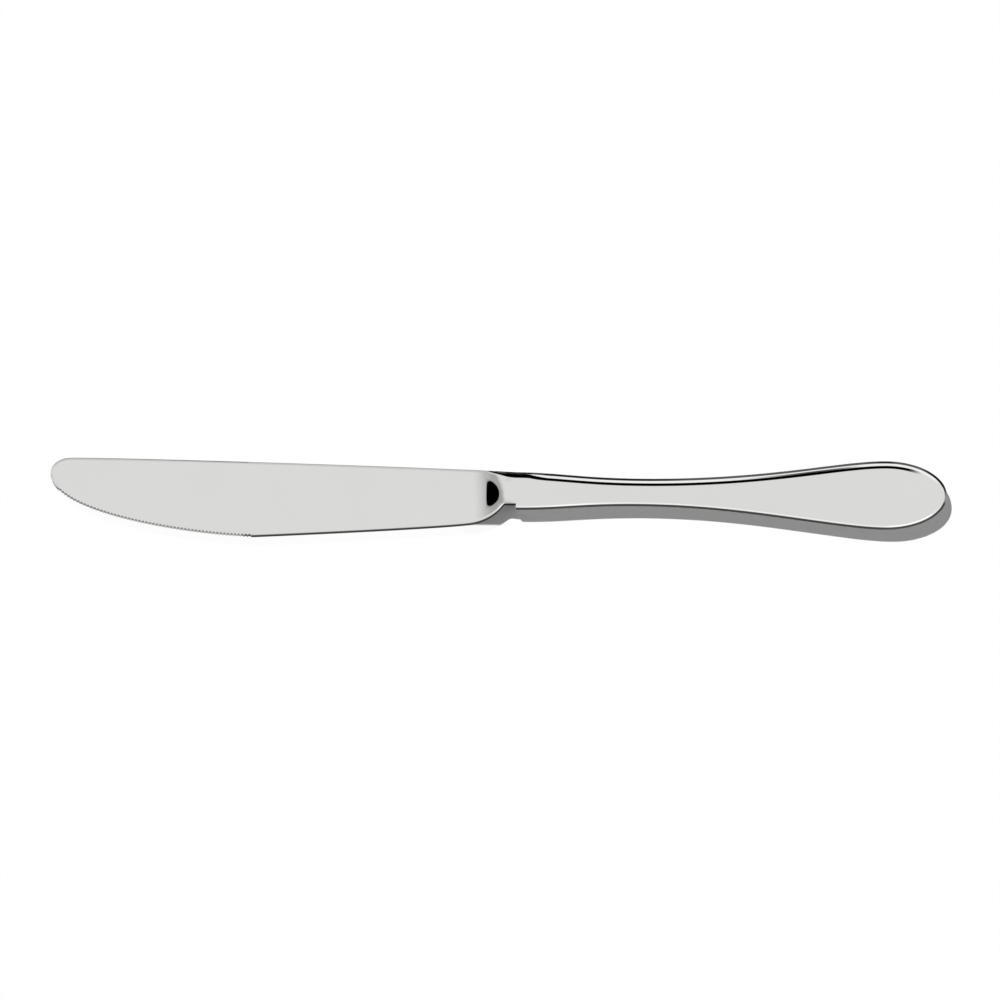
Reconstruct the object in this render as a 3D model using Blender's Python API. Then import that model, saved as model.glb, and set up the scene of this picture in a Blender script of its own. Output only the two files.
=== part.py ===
"""Dessert knife with a hollow handle, lying flat on the back of its handle.

The blade is one forging: a wedge-ground blade with a finely toothed edge, a scooped bolster, a neck,
and inside the handle a spigot and a notched tang. Two pressed half shells make the handle, brazed rim
to rim, and cement fills the handle round the tang.

Metres, +Z up, +X from the tip to the handle's end, +Y towards the spine. The origin is the centre of
the knife's outline, on the surface that it lies on. Every mesh is drawn about the joint centre: the
point on the handle's axis, at half thickness, where the neck enters the handle.
"""

import math

import bmesh
import bpy
import numpy as np

MM = 0.001

# Blade outline, from the tip to the handle's mouth
BLADE_LENGTH = 106.6 * MM
TIP_RADIUS = 4.2 * MM
SPINE_HEIGHT = 6.65 * MM
SPINE_REACH_TIP = 50.0 * MM
SPINE_REACH_MOUTH = 9.0 * MM
SPINE_SLOPE_TIP = 0.008
SPINE_SLOPE_MOUTH = 0.02
TIP_REACH = 6.3 * MM
BELLY_FROM_TIP = 48.0 * MM
BELLY_DEPTH = 11.2 * MM
BELLY_REACH_TIP = 24.7 * MM
BELLY_REACH_HEEL = 4.6 * MM
HEEL_FROM_MOUTH = 10.5 * MM
HEEL_DEPTH = 7.95 * MM
HEEL_REACH = 7.3 * MM
HEEL_ANGLE = math.radians(8)
HEEL_RADIUS = 11.9 * MM
NECK_FILLET = 0.7 * MM
MOUTH_STEP = 1.08 * MM

# Blade thickness and edges. At the heel the spine is a share of the handle's thickness
SPINE_THICK_TIP = 1.3 * MM
SPINE_HEEL_SHARE = 0.84
EDGE_THICK = 0.6 * MM
SPINE_ROUND = 0.3 * MM
NECK_SPINE_ROUND = 0.06 * MM
HEEL_BLEND = 3.0 * MM
EDGE_BEVEL = 0.65 * MM
EDGE_BEVEL_POWER = 1.25
TOOTH_PITCH = 0.82 * MM
TOOTH_DEPTH = 0.2 * MM
TEETH_START = 4.5 * MM
TEETH_STOP_BEFORE_BELLY = 1.3 * MM

# Bolster: a long sweep rises from the blade's face, and in it a steeper scoop with a round top
SCOOP_FROM_MOUTH = 6.8 * MM
SWEEP_BEFORE = 3.7 * MM
SWEEP_SETS_IN = 5.0 * MM
SWEEP_SLOPE = 0.14
SWEEP_EASES = 1.25 * MM
CREST_SIDE = 1.2 * MM
CREST_BOW = 2.2 * MM
CREST_HALF = 2.6 * MM
SCOOP_SLOPE = 0.16
SCOOP_LENGTH = 2.77 * MM
SCOOP_HALF = 3.45 * MM
SCOOP_DROP = 0.64 * MM
SCOOP_FILLET = 0.1 * MM
SCOOP_ROUNDING = 0.75
SCOOP_BLEND = 8.0
BOLSTER_SHARE = 0.234
FLUSH_FROM_MOUTH = 4.6 * MM
FLUSH_BLEND = 20.0
NECK_ROLL = 1.0 * MM

# Bevel along the spine side of the neck. It runs out into the roll of the handle's edge
BEVEL_WIDTH = 1.12 * MM
BEVEL_DROP = 0.52 * MM
BEVEL_POWER = 1.1
BEVEL_LENGTH = 4.5 * MM
BEVEL_GROWTH = 0.7
BEVEL_HOLDS = 0.5 * MM
BEVEL_RUNS_OUT = 7.5 * MM

# Handle outline, from its mouth to its end
HANDLE_LENGTH = 98.4 * MM
MOUTH_HALF = 4.3 * MM
MOUTH_REACH = 11.2 * MM
WAIST_FROM_MOUTH = 30.7 * MM
WAIST_HALF = 3.2 * MM
WAIST_REACH_FRONT = 15.7 * MM
WAIST_REACH_BACK = 26.3 * MM
SWELL_HALF = 7.85 * MM
SWELL_REACH = 13.7 * MM
END_LENGTH = 13.9 * MM

# Handle section
HANDLE_THICK = 5.0 * MM
EDGE_ROLL = 2.0 * MM
WALL = 0.9 * MM
INNER_ROLL = 0.8 * MM

# What is hidden in the handle
SPIGOT_LENGTH = 7.0 * MM
TANG_LENGTH = 34.0 * MM
TANG_HALF_ROOT = 1.8 * MM
TANG_HALF_END = 1.3 * MM
TANG_THICK = 1.8 * MM
TANG_ROUND = 0.25 * MM
NOTCH_RADIUS = 0.5 * MM
NOTCH_PITCH = 7.0 * MM
NOTCH_COUNT = 4
BRAZE_THICK = 0.12 * MM

# Clearances
FIT = 0.1 * MM
SEAT_GAP = 0.03 * MM

# Mesh fineness
CURVE_POINTS = 240
CHAIN_POINTS = 44
ROLL_STEPS = 5
HIDDEN_ROLL_STEPS = 4
FACE_POINTS = 3
BOLSTER_FACE_POINTS = 15
TIP_STATIONS = 7
PLAIN_STATIONS = 14
BOLSTER_STATIONS = 34
SPIGOT_STATIONS = 5
NOTCH_STATIONS = 6
MOST_ROLL_SHARE = 0.35
END_CROWDING = 0.4
WELD = 0.0001 * MM
SHARP_ANGLE = math.radians(35)

# Worked out from the sizes above
HALF_THICK = HANDLE_THICK / 2
SPINE_THICK_HEEL = HANDLE_THICK * SPINE_HEEL_SHARE
BOLSTER_RISE = HANDLE_THICK * BOLSTER_SHARE
RIM = BRAZE_THICK / 2 + SEAT_GAP
NECK_HALF_LOWER = MOUTH_HALF - MOUTH_STEP
TIP_HEIGHT = SPINE_HEIGHT - TIP_RADIUS
CAVITY_INSET = WALL + FIT
CAVITY_HALF = HALF_THICK - WALL - FIT
TANG_START = SPIGOT_LENGTH
TANG_END = SPIGOT_LENGTH + TANG_LENGTH
UPPER_REACH = max(SWELL_HALF, SPINE_HEIGHT)
LOWER_REACH = max(SWELL_HALF, BELLY_DEPTH)
JOINT_X = (BLADE_LENGTH - HANDLE_LENGTH) / 2
JOINT_Y = (LOWER_REACH - UPPER_REACH) / 2


def bezier(start, reach_start, reach_end, end):
    """Points of a cubic curve between two ends, given its two inner control points."""
    t = np.linspace(0, 1, CURVE_POINTS)[:, None]
    start, reach_start, reach_end, end = map(np.array, (start, reach_start, reach_end, end))
    near = start * (1 - t) ** 3 + 3 * reach_start * t * (1 - t) ** 2
    return near + 3 * reach_end * t**2 * (1 - t) + end * t**3


def arc(centre, radius, angle_start, angle_end):
    """Points of a circular arc, with angles from +X."""
    angle = np.linspace(angle_start, angle_end, CURVE_POINTS)
    return np.array(centre) + radius * np.stack([np.cos(angle), np.sin(angle)], axis=1)


def joined(*curves):
    """Curves laid end to end, with each shared end kept once."""
    return np.concatenate([curves[0]] + [curve[1:] for curve in curves[1:]])


def spine_curve():
    """Upper outline of the blade, from the tip to the handle's mouth."""
    tip_arc = arc((TIP_RADIUS - BLADE_LENGTH, TIP_HEIGHT), TIP_RADIUS, math.pi, math.pi / 2)
    start = tip_arc[-1]
    level = (start[0] + SPINE_REACH_TIP, start[1] - SPINE_SLOPE_TIP * SPINE_REACH_TIP)
    arrival = (-SPINE_REACH_MOUTH, MOUTH_HALF + SPINE_SLOPE_MOUTH * SPINE_REACH_MOUTH)
    return joined(tip_arc, bezier(start, level, arrival, (0, MOUTH_HALF)))


def edge_curves():
    """Lower outline of the blade: the toothed stretch, and the plain stretch up to the mouth."""
    tip = (-BLADE_LENGTH, TIP_HEIGHT)
    belly = (BELLY_FROM_TIP - BLADE_LENGTH, -BELLY_DEPTH)
    heel = (-HEEL_FROM_MOUTH, -HEEL_DEPTH)
    toothed = bezier(tip, (tip[0], tip[1] - TIP_REACH), (belly[0] - BELLY_REACH_TIP, belly[1]), belly)
    to_heel = bezier(
        belly,
        (belly[0] + BELLY_REACH_HEEL, belly[1]),
        (heel[0] - HEEL_REACH, heel[1] - HEEL_REACH * math.tan(HEEL_ANGLE)),
        heel,
    )
    heel_centre = np.array(heel) + HEEL_RADIUS * np.array([-math.sin(HEEL_ANGLE), math.cos(HEEL_ANGLE)])
    fillet_y = -NECK_HALF_LOWER - NECK_FILLET
    centres_apart = HEEL_RADIUS + NECK_FILLET
    fillet_x = heel_centre[0] + math.sqrt(centres_apart**2 - (fillet_y - heel_centre[1]) ** 2)
    meet = math.atan2(fillet_y - heel_centre[1], fillet_x - heel_centre[0])
    heel_arc = arc(heel_centre, HEEL_RADIUS, HEEL_ANGLE - math.pi / 2, meet)
    fillet = arc((fillet_x, fillet_y), NECK_FILLET, meet + math.pi, math.pi / 2)
    neck = np.linspace(fillet[-1], (0, -NECK_HALF_LOWER), CURVE_POINTS)
    return toothed, joined(to_heel, heel_arc, fillet, neck)


def handle_curve():
    """Outline of the handle from the mouth's spine side round the end to the mouth's edge side."""
    mouth = (0, MOUTH_HALF)
    waist = (WAIST_FROM_MOUTH, WAIST_HALF)
    swell = (HANDLE_LENGTH - END_LENGTH, SWELL_HALF)
    neck = bezier(mouth, (MOUTH_REACH, MOUTH_HALF), (waist[0] - WAIST_REACH_FRONT, WAIST_HALF), waist)
    flare = bezier(
        waist,
        (waist[0] + WAIST_REACH_BACK, WAIST_HALF),
        (swell[0] - SWELL_REACH, SWELL_HALF),
        swell,
    )
    angle = np.linspace(math.pi / 2, 0, CURVE_POINTS)
    end = np.stack([swell[0] + END_LENGTH * np.cos(angle), SWELL_HALF * np.sin(angle)], axis=1)
    side = joined(neck, flare, end)
    return joined(side, side[::-1] * (1, -1))


def lengths_along(curve):
    """Distance of each point of a curve from its start, along the curve."""
    return np.concatenate([[0], np.cumsum(np.linalg.norm(np.diff(curve, axis=0), axis=1))])


def left_normals(curve):
    """Unit normals on the left of a curve, in its direction."""
    along = np.gradient(curve, axis=0)
    along /= np.linalg.norm(along, axis=1)[:, None]
    return np.stack([-along[:, 1], along[:, 0]], axis=1)


def distance_to(points, curve):
    """Shortest distance from each point to a curve."""
    start, step = curve[:-1], np.diff(curve, axis=0)
    offset = points[:, None, :] - start[None]
    share = np.clip((offset * step).sum(-1) / (step * step).sum(-1), 0, 1)
    return np.linalg.norm(offset - share[..., None] * step, axis=-1).min(axis=1)


def roll(share, power=2.0):
    """Rise of a rounded edge from 0 at the outline to 1 where share reaches 1: an ellipse at power 2."""
    inner = 1 - np.clip(share, 0, 1)
    return (1 - inner**power) ** (1 / power)


def smooth_step(value, low, high):
    """0 below low, 1 above high, and an even S between them."""
    share = np.clip((value - low) / (high - low), 0, 1)
    return share * share * (3 - 2 * share)


def risen(distance, length):
    """How far a slope of 1 has risen, if it sets in evenly over a length."""
    past = np.clip(distance, 0, None)
    return np.where(past < length, past**2 / (2 * length), past - length / 2)


def bolster_rise(x, y):
    """How far the bolster stands above the blade's face: the sweep, and the scoop in it."""
    past = x + SCOOP_FROM_MOUTH
    beside = y + SCOOP_DROP
    crest = CREST_SIDE + CREST_BOW * np.exp(-((beside / CREST_HALF) ** 2))
    sweep = risen(past + SWEEP_BEFORE, SWEEP_SETS_IN) - risen(past - crest, SWEEP_EASES)
    share = np.clip(1 - (beside / SCOOP_HALF) ** 2, 0, None) ** SCOOP_ROUNDING
    ahead = (past + np.sqrt(past**2 + SCOOP_FILLET**2)) / 2
    both = np.maximum([ahead, SCOOP_LENGTH * share], WELD) ** -SCOOP_BLEND
    scoop = share * both.sum(axis=0) ** (-1 / SCOOP_BLEND)
    return SWEEP_SLOPE * sweep + SCOOP_SLOPE * scoop


def bevel_share(x):
    """How far the neck's bevel has grown, from 0 on the blade to 1 at the handle's mouth."""
    return np.clip((x + SCOOP_FROM_MOUTH) / BEVEL_LENGTH, 0, 1) ** BEVEL_GROWTH


def forging_half_thickness(points, spine, edge):
    """Half thickness of the blade, bolster and neck at points of its outline's inside."""
    x, y = points[:, 0], points[:, 1]
    from_spine = distance_to(points, spine)
    from_edge = distance_to(points, edge)
    thick_here = np.interp(x, (-BLADE_LENGTH, -SCOOP_FROM_MOUTH), (SPINE_THICK_TIP, SPINE_THICK_HEEL))
    across = from_edge / np.maximum(from_edge + from_spine, WELD)
    level = np.clip((y + HEEL_DEPTH) / (np.interp(x, *spine.T) + HEEL_DEPTH), 0, 1)
    across += (level - across) * smooth_step(x, -HEEL_FROM_MOUTH - HEEL_BLEND, -HEEL_FROM_MOUTH)
    wedge = (EDGE_THICK + (thick_here - EDGE_THICK) * across) / 2
    room = np.minimum(HALF_THICK - wedge, BOLSTER_RISE)
    share = np.maximum(bolster_rise(x, y) / room, WELD)
    share = (1 + share**-FLUSH_BLEND) ** (-1 / FLUSH_BLEND)
    body = wedge + room * (share + (1 - share) * smooth_step(x, -FLUSH_FROM_MOUTH, 0))
    grown = bevel_share(x)
    up_bevel = roll(from_spine / np.maximum(BEVEL_WIDTH * grown, WELD), BEVEL_POWER)
    crisp = smooth_step(x, -SCOOP_FROM_MOUTH - HEEL_BLEND, -SCOOP_FROM_MOUTH)
    spine_roll = SPINE_ROUND + (NECK_SPINE_ROUND - SPINE_ROUND) * crisp
    edge_roll = EDGE_BEVEL + (NECK_ROLL - EDGE_BEVEL) * smooth_step(x, -SCOOP_FROM_MOUTH, 0)
    past_heel = smooth_step(x, -HEEL_FROM_MOUTH, -SCOOP_FROM_MOUTH)
    edge_power = EDGE_BEVEL_POWER + (2 - EDGE_BEVEL_POWER) * past_heel
    half = body - BEVEL_DROP * grown * (1 - up_bevel)
    return half * roll(from_spine / spine_roll) * roll(from_edge / edge_roll, edge_power)


def section_shares(width, roll_upper, roll_lower, face_points=FACE_POINTS):
    """Places across a section, from 0 at the upper outline to 1 at the lower, closest at both edges."""
    turn = np.linspace(0, math.pi / 2, ROLL_STEPS)
    rise = 1 - np.cos(turn)
    most = width * MOST_ROLL_SHARE
    upper = min(roll_upper, most) * rise
    lower = width - (min(roll_lower, most) * rise)[::-1]
    face = np.linspace(upper[-1], lower[0], face_points + 2)[1:-1]
    return np.concatenate([upper, face, lower]) / width


def blade_stations(toothed, plain):
    """Lower outline points where the forging gets a section, the teeth cut in, and their places in X."""
    along = lengths_along(toothed)
    tooth_count = int((along[-1] - TEETH_STOP_BEFORE_BELLY - TEETH_START) / TOOTH_PITCH)
    steps = np.arange(2 * tooth_count + 1)
    teeth = TEETH_START + steps * TOOTH_PITCH / 2
    to_teeth = TEETH_START * (np.arange(1, TIP_STATIONS) / TIP_STATIONS)
    at = np.concatenate([to_teeth, teeth])
    cut = np.concatenate([np.zeros(len(to_teeth)), TOOTH_DEPTH * (steps % 2)])
    normals = left_normals(toothed)
    on_curve = np.stack([np.interp(at, along, toothed[:, axis]) for axis in (0, 1)], axis=1)
    inward = np.stack([np.interp(at, along, normals[:, axis]) for axis in (0, 1)], axis=1)
    plain_x = np.concatenate(
        [
            np.linspace(toothed[-1, 0], -HEEL_FROM_MOUTH, PLAIN_STATIONS)[:-1],
            np.linspace(-HEEL_FROM_MOUTH, 0, BOLSTER_STATIONS),
        ]
    )
    plain_points = np.stack([plain_x, np.interp(plain_x, plain[:, 0], plain[:, 1])], axis=1)
    lower = np.concatenate([on_curve + inward * cut[:, None], plain_points])
    return lower, np.concatenate([on_curve[:, 0], plain_x])


def blade_sections():
    """Upper-half sections of the forging from the tip to the handle's mouth."""
    spine = spine_curve()
    toothed, plain = edge_curves()
    edge = joined(toothed, plain)
    lower, station_x = blade_stations(toothed, plain)
    upper = np.stack([station_x, np.interp(station_x, spine[:, 0], spine[:, 1])], axis=1)
    sections = []
    for top, bottom in zip(upper, lower, strict=True):
        roll_upper = SPINE_ROUND + (BEVEL_WIDTH - SPINE_ROUND) * bevel_share(top[0])
        face_points = BOLSTER_FACE_POINTS if top[0] >= -HEEL_FROM_MOUTH else FACE_POINTS
        shares = section_shares(np.linalg.norm(top - bottom), roll_upper, EDGE_BEVEL, face_points)
        plan = top + (bottom - top) * shares[:, None]
        half = forging_half_thickness(plan, spine, edge)
        half[[0, -1]] = 0
        sections.append(np.column_stack([plan, half]))
    return sections


def bar_section(x, half_width, half_thick, edge_round):
    """Upper-half section of a straight bar with rounded edges, at one place in X."""
    shares = section_shares(2 * half_width, edge_round, edge_round)
    y = half_width * (1 - 2 * shares)
    half = half_thick * roll((half_width - np.abs(y)) / edge_round)
    half[[0, -1]] = 0
    return np.column_stack([np.full(len(y), x), y, half])


def spigot_sections():
    """Upper-half sections of the spigot, which follows the inside of the handle's mouth."""
    outline = handle_curve()
    side = outline[: len(outline) // 2]
    places = np.linspace(0, SPIGOT_LENGTH, SPIGOT_STATIONS)
    halves = np.interp(places, side[:, 0], side[:, 1]) - CAVITY_INSET
    return [bar_section(x, half, CAVITY_HALF, INNER_ROLL) for x, half in zip(places, halves, strict=True)]


def tang_outline(clearance):
    """Places in X and half widths of the tapered, notched tang, grown by a clearance."""
    places = {TANG_START, TANG_END}
    for number in range(NOTCH_COUNT):
        centre = TANG_START + NOTCH_PITCH * (number + 1)
        places.update(centre + NOTCH_RADIUS * np.cos(np.linspace(0, math.pi, NOTCH_STATIONS)))
    x = np.array(sorted(places))
    half = np.interp(x, (TANG_START, TANG_END), (TANG_HALF_ROOT, TANG_HALF_END))
    for number in range(NOTCH_COUNT):
        from_centre = np.abs(x - TANG_START - NOTCH_PITCH * (number + 1))
        half -= np.sqrt(np.clip(NOTCH_RADIUS**2 - from_centre**2, 0, None))
    return x, half + clearance


def tang_sections(clearance):
    """Upper-half sections of the tang, or of its socket when a clearance is added."""
    places, halves = tang_outline(clearance)
    half_thick = TANG_THICK / 2 + clearance
    return [bar_section(x, half, half_thick, TANG_ROUND) for x, half in zip(places, halves, strict=True)]


def new_object(name, bm, material, parent):
    """Object from a mesh under construction, hung on the joint centre, smooth up to its sharp edges."""
    bmesh.ops.recalc_face_normals(bm, faces=bm.faces)
    mesh = bpy.data.meshes.new(name)
    bm.to_mesh(mesh)
    bm.free()
    mesh.shade_smooth()
    mesh.set_sharp_from_angle(angle=SHARP_ANGLE)
    if material:
        mesh.materials.append(material)
    obj = bpy.data.objects.new(name, mesh)
    bpy.context.scene.collection.objects.link(obj)
    obj.parent = parent
    return obj


def metal(name, colour, roughness, metallic=1.0):
    """Principled material with a colour, a roughness and a metallic value."""
    material = bpy.data.materials.new(name)
    material.use_nodes = True
    shader = material.node_tree.nodes["Principled BSDF"]
    shader.inputs["Base Color"].default_value = (*colour, 1)
    shader.inputs["Roughness"].default_value = roughness
    shader.inputs["Metallic"].default_value = metallic
    return material


def skin_between(bm, first, second):
    """Row of quads between two rows of vertices of equal count."""
    for low, high, next_low, next_high in zip(first, second, first[1:], second[1:]):
        bm.faces.new((low, next_low, next_high, high))


def skin_to_finer(bm, coarse, fine):
    """Row of faces between two sections, the second with more points on its face."""
    more = (len(fine) - len(coarse)) // (FACE_POINTS + 1)
    place = 0
    for number, (low, high) in enumerate(zip(coarse, coarse[1:])):
        on_face = ROLL_STEPS - 1 <= number < ROLL_STEPS + FACE_POINTS
        ahead = place + 1 + more * on_face
        bm.faces.new([low, high] + fine[place : ahead + 1][::-1])
        place = ahead


def flat_across(bm, row):
    """Flat between the two sides of a row that runs out along one side, round an end and back."""
    middle = len(row) // 2
    there, back = row[:middle], row[:middle:-1]
    skin_between(bm, there, back)
    bm.faces.new((there[-1], row[middle], back[-1]))


def row_of(bm, points):
    """Row of new vertices."""
    return [bm.verts.new(point) for point in points]


def mirrored_loft(sections, start=None):
    """Half loft through sections that begin and end at mid thickness. A start point closes it to a tip."""
    bm = bmesh.new()
    rows = [row_of(bm, section) for section in sections]
    if start is not None:
        tip = bm.verts.new(start)
        for first, second in zip(rows[0], rows[0][1:]):
            bm.faces.new((tip, first, second))
    else:
        bm.faces.new(rows[0])
    for first, second in zip(rows, rows[1:]):
        if len(first) == len(second):
            skin_between(bm, first, second)
        else:
            skin_to_finer(bm, *sorted((first, second), key=len))
    bm.faces.new(rows[-1][::-1])
    return bm


def mirror_down(obj):
    """Second half of a forging that is alike on both faces."""
    mirror = obj.modifiers.new("other_face", "MIRROR")
    mirror.use_axis = (False, False, True)
    mirror.merge_threshold = WELD


def make_blade(parent):
    """Forging: blade, bolster, neck, spigot and tang."""
    sections = blade_sections()
    sections += spigot_sections()
    sections += tang_sections(0)
    bm = mirrored_loft(sections, start=(-BLADE_LENGTH, TIP_HEIGHT, 0))
    steel = metal("polished_blade_steel", (0.70, 0.70, 0.69), 0.12)
    mirror_down(new_object("blade", bm, steel, parent))


def handle_chain(inset, start_x):
    """Handle outline moved inwards, from one place in X on the spine side round to the edge side."""
    curve = handle_curve()
    moved = curve - left_normals(curve) * inset
    moved[[0, -1], 0] = 0
    inside = np.where(moved[:, 0] >= start_x)[0]
    first, last = inside[0], inside[-1]
    chain = moved[first : last + 1].copy()
    if first > 0:
        entry_y = np.interp(start_x, moved[first - 1 : first + 1, 0], moved[first - 1 : first + 1, 1])
        chain = np.concatenate([[(start_x, entry_y)], chain, [(start_x, -entry_y)]])
    along = lengths_along(chain)
    even = np.linspace(-1, 1, 2 * CHAIN_POINTS + 1)
    share = (1 + even - END_CROWDING * np.sin(even * math.pi) / math.pi) / 2
    return np.stack([np.interp(share * along[-1], along, chain[:, axis]) for axis in (0, 1)], axis=1)


def inner_rows(inset, start_x, low, high):
    """Rows of points that climb the rolled edge inside the handle, from low to the flat at high."""
    rows = []
    for turn in np.linspace(0, math.pi / 2, HIDDEN_ROLL_STEPS):
        plan = handle_chain(inset + INNER_ROLL * (1 - math.cos(turn)), start_x)
        height = low + (high - low) * math.sin(turn)
        rows.append(np.column_stack([plan, np.full(len(plan), height)]))
    return rows


def outside_rows():
    """Rows of points from a shell's rim to its flat: the neck's bevel runs out into the handle's roll."""
    plan = handle_chain(0, 0)
    inward = -left_normals(plan)
    rolled = smooth_step(plan[:, 0], BEVEL_HOLDS, BEVEL_RUNS_OUT)
    rolled[len(plan) // 2 :] = 1
    width = BEVEL_WIDTH + (EDGE_ROLL - BEVEL_WIDTH) * rolled
    drop = BEVEL_DROP + (HALF_THICK - RIM - BEVEL_DROP) * rolled
    power = BEVEL_POWER + (2 - BEVEL_POWER) * rolled
    rows = [np.column_stack([plan, np.full(len(plan), RIM)])]
    last = ROLL_STEPS - 1
    for step in range(1, ROLL_STEPS):
        turn = (rolled * step / last + (1 - rolled) * (step - 1) / (last - 1)) * math.pi / 2
        moved = plan + inward * (width * (1 - np.abs(np.cos(turn)) ** (2 / power)))[:, None]
        rows.append(np.column_stack([moved, HALF_THICK - drop * (1 - np.sin(turn) ** (2 / power))]))
    return rows


def shell_mesh(side):
    """Half shell with its rim at mid thickness and its mouth open, for the upper or lower side."""
    inside = inner_rows(WALL, 0, RIM, HALF_THICK - WALL)
    outside = outside_rows()
    for row in outside + inside:
        row[[0, -1], 0] = SEAT_GAP
        row[:, 2] *= side
    bm = bmesh.new()
    outer = [row_of(bm, row) for row in outside]
    inner = [row_of(bm, row) for row in inside]
    for rows in (outer, inner):
        for first, second in zip(rows, rows[1:]):
            skin_between(bm, first, second)
        flat_across(bm, rows[-1])
    skin_between(bm, outer[0], inner[0])
    mouth = [row[0] for row in outer] + [row[-1] for row in outer[::-1]]
    mouth += [row[-1] for row in inner] + [row[0] for row in inner[::-1]]
    bm.faces.new(mouth)
    bmesh.ops.remove_doubles(bm, verts=bm.verts, dist=WELD)
    return bm


def make_shells(parent):
    """Two half shells, pressed as a left and a right one that mirror each other."""
    steel_top = metal("polished_shell_steel_top", (0.70, 0.70, 0.69), 0.12)
    steel_bottom = metal("polished_shell_steel_bottom", (0.70, 0.70, 0.69), 0.12)
    new_object("handle_top_shell", shell_mesh(1), steel_top, parent)
    new_object("handle_bottom_shell", shell_mesh(-1), steel_bottom, parent)


def make_braze(parent):
    """Band of filler between the rims, from the mouth round the end and back."""
    bm = bmesh.new()
    rows = []
    for inset, height in ((0, -1), (0, 1), (WALL, 1), (WALL, -1)):
        plan = handle_chain(inset, 0)
        plan[[0, -1], 0] = SEAT_GAP
        rows.append(row_of(bm, np.column_stack([plan, np.full(len(plan), height * BRAZE_THICK / 2)])))
    for first, second in zip(rows, rows[1:] + rows[:1]):
        skin_between(bm, first, second)
    bm.faces.new([row[0] for row in rows])
    bm.faces.new([row[-1] for row in rows])
    filler = metal("brazing_filler", (0.62, 0.58, 0.48), 0.35)
    new_object("seam_braze", bm, filler, parent)


def make_socket(parent):
    """Cutter for the space that the tang takes in the cement."""
    sections = tang_sections(FIT)
    sections[0][:, 0] -= SPIGOT_LENGTH / 2
    sections[-1][:, 0] += FIT
    cutter = new_object("tang_socket", mirrored_loft(sections), None, parent)
    mirror_down(cutter)
    cutter.hide_render = True
    cutter.display_type = "WIRE"
    return cutter


def make_cement(parent):
    """Filling of the handle behind the spigot, cast round the tang."""
    front = SPIGOT_LENGTH + FIT
    rows = inner_rows(CAVITY_INSET, front, 0, CAVITY_HALF)
    bm = bmesh.new()
    upper = [row_of(bm, row) for row in rows]
    lower = [upper[0]] + [row_of(bm, row * (1, 1, -1)) for row in rows[1:]]
    for layers in (upper, lower):
        for first, second in zip(layers, layers[1:]):
            skin_between(bm, first, second)
        flat_across(bm, layers[-1])
    face = [row[0] for row in upper] + [row[-1] for row in upper[::-1]]
    face += [row[-1] for row in lower[1:]] + [row[0] for row in lower[:0:-1]]
    bm.faces.new(face)
    bmesh.ops.remove_doubles(bm, verts=bm.verts, dist=WELD)
    cast = metal("handle_cement", (0.45, 0.43, 0.40), 0.9, metallic=0.0)
    cement = new_object("tang_cement", bm, cast, parent)
    cut = cement.modifiers.new("tang_space", "BOOLEAN")
    cut.operation = "DIFFERENCE"
    cut.object = make_socket(parent)


def main():
    """Clear the scene and build the knife about its joint centre."""
    for obj in list(bpy.data.objects):
        bpy.data.objects.remove(obj, do_unlink=True)
    joint = bpy.data.objects.new("joint_centre", None)
    joint.location = (JOINT_X, JOINT_Y, HALF_THICK)
    bpy.context.scene.collection.objects.link(joint)
    make_blade(joint)
    make_shells(joint)
    make_braze(joint)
    make_cement(joint)


main()
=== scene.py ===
"""Looks of a polished dessert knife with a hollow handle, seen from straight above on white ground.

Metres, +Z up, +X from the tip to the handle's end, +Y towards the spine. The forging, the two half shells
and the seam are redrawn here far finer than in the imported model, about the same joint centre: the point on
the handle's axis, at half thickness, where the neck enters the handle.
"""

import logging
import math
from dataclasses import dataclass, field
from enum import Enum
from typing import Any

import bmesh
import bpy
import numpy as np
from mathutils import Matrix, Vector

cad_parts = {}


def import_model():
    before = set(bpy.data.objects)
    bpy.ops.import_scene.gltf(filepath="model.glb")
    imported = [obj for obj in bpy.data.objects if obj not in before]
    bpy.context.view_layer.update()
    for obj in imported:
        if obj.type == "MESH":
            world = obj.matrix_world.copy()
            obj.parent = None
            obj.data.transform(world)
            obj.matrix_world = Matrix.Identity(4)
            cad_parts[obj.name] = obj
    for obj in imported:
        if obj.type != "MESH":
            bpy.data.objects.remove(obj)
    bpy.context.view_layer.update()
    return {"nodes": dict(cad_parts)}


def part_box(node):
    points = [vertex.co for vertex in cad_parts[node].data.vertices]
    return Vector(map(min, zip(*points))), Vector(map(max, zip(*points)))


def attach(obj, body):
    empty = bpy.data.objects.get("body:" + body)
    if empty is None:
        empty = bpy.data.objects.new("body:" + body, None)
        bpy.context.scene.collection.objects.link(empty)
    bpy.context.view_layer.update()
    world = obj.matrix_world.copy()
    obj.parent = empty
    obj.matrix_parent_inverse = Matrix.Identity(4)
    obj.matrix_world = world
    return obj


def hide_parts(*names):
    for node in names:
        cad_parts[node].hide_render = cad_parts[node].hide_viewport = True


MM = 0.001
BODY = "root"
LOG = logging.getLogger("dessert_knife")
WHITE = "#FFFFFF"
Tree = bpy.types.NodeTree
Socket = bpy.types.NodeSocket
Piece = bpy.types.Object
Material = bpy.types.Material
Array = np.ndarray
Pair = tuple[float, float]
CURVE_POINTS = 400
ARC_POINTS = 200
SAME_PLACE = 1e-8


class Side(Enum):
    """Which half of the handle a shell is, by the way that it faces."""

    TOP = 1
    BOTTOM = -1


# Colours and nodes


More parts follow.
